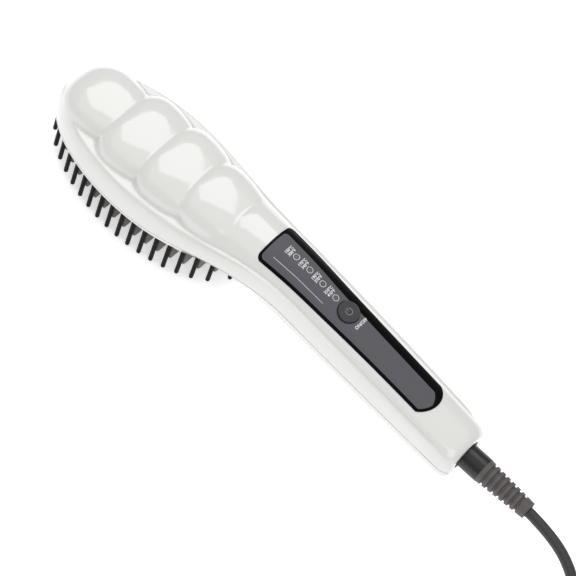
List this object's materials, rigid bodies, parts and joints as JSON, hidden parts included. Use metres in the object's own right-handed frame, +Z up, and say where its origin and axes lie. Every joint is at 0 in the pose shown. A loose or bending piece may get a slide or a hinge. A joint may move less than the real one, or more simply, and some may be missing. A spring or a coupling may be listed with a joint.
{
  "type": "hair straightening brush",
  "caption": "Corded hair straightening brush: oval heated bristle head with a quilted back, slim handle with a control panel and push button, swivelling cord outlet, coiled mains lead.",
  "frame": {"origin": "under the middle of the brush without its cord, on the surface that the bristle tips stand on", "axes": "+X from the head's tip to the cord outlet, +Y across the brush, +Z up from the bristles to the back"},
  "size_m": [0.521, 0.0993, 0.0585],
  "materials": {
    "gloss_white": "gloss",
    "gloss_black": "gloss",
    "panel_film": "gloss",
    "button_black": "satin",
    "clear_plastic": "clear",
    "nylon_black": "satin",
    "bed_black": "matte",
    "coated_fin": "ceramic coated",
    "bare_aluminium": "satin",
    "steel": "zinc plated",
    "brass": "satin",
    "nickel": "nickel plated",
    "ceramic": "matt ceramic",
    "mica": "matte",
    "board_green": "satin",
    "component_black": "matte",
    "capacitor_blue": "satin",
    "lead_silicone": "matte",
    "acetal": "satin",
    "cord_rubber": "matte",
    "sleeve_rubber": "matte",
    "tie_nylon": "satin"
  },
  "bodies": {
    "housing": {"back_shell": "gloss_white", "front_shell": "gloss_white", "shell_screws": "steel", "panel_bezel": "gloss_black", "panel_overlay": "panel_film", "light_pipe": "clear_plastic", "control_board": "board_green", "board_screws": "steel", "tact_switch": "component_black", "indicator_leds": "clear_plastic", "power_triac": "component_black", "mains_capacitor": "capacitor_blue", "control_chip": "component_black", "bristle_bed": "bed_black", "nylon_bristles": "nylon_black", "heating_fins": "coated_fin", "heating_plate": "bare_aluminium", "plate_screws": "steel", "ceramic_heater": "ceramic", "mica_sheet": "mica", "heater_clamp": "steel", "clamp_screws": "steel", "thermal_fuse": "ceramic", "temperature_sensor": "clear_plastic", "heater_leads": "lead_silicone", "swivel_bush": "acetal", "contact_blades": "brass", "cord_lead": "cord_rubber", "cord_coil": "cord_rubber", "cord_end": "cord_rubber", "cord_tie": "tie_nylon", "plug_body": "cord_rubber", "plug_sleeve": "cord_rubber", "plug_pins": "nickel", "pin_sleeves": "acetal"},
    "button": {"power_button": "button_black"},
    "plunger": {"switch_plunger": "component_black"},
    "swivel": {"swivel_collar": "acetal", "slip_rings": "brass", "strain_relief": "sleeve_rubber"}
  },
  "joints": [
    {"name": "button_press", "type": "slide", "parent": "housing", "child": "button", "axis": [-0.122, 0, -0.9925], "range_m": [0, 0.0006], "stiffness_N_per_m": 2500},
    {"name": "plunger_press", "type": "slide", "parent": "housing", "child": "plunger", "axis": [-0.122, 0, -0.9925], "range_m": [0, 0.0006]},
    {"name": "cord_swivel", "type": "hinge", "parent": "housing", "child": "swivel", "pos_m": [0.1145, 0, 0.0245], "axis": [1, 0, 0], "continuous": true}
  ],
  "couplings": [
    {"joint": "plunger_press", "follows": "button_press", "ratio": 1}
  ]
}
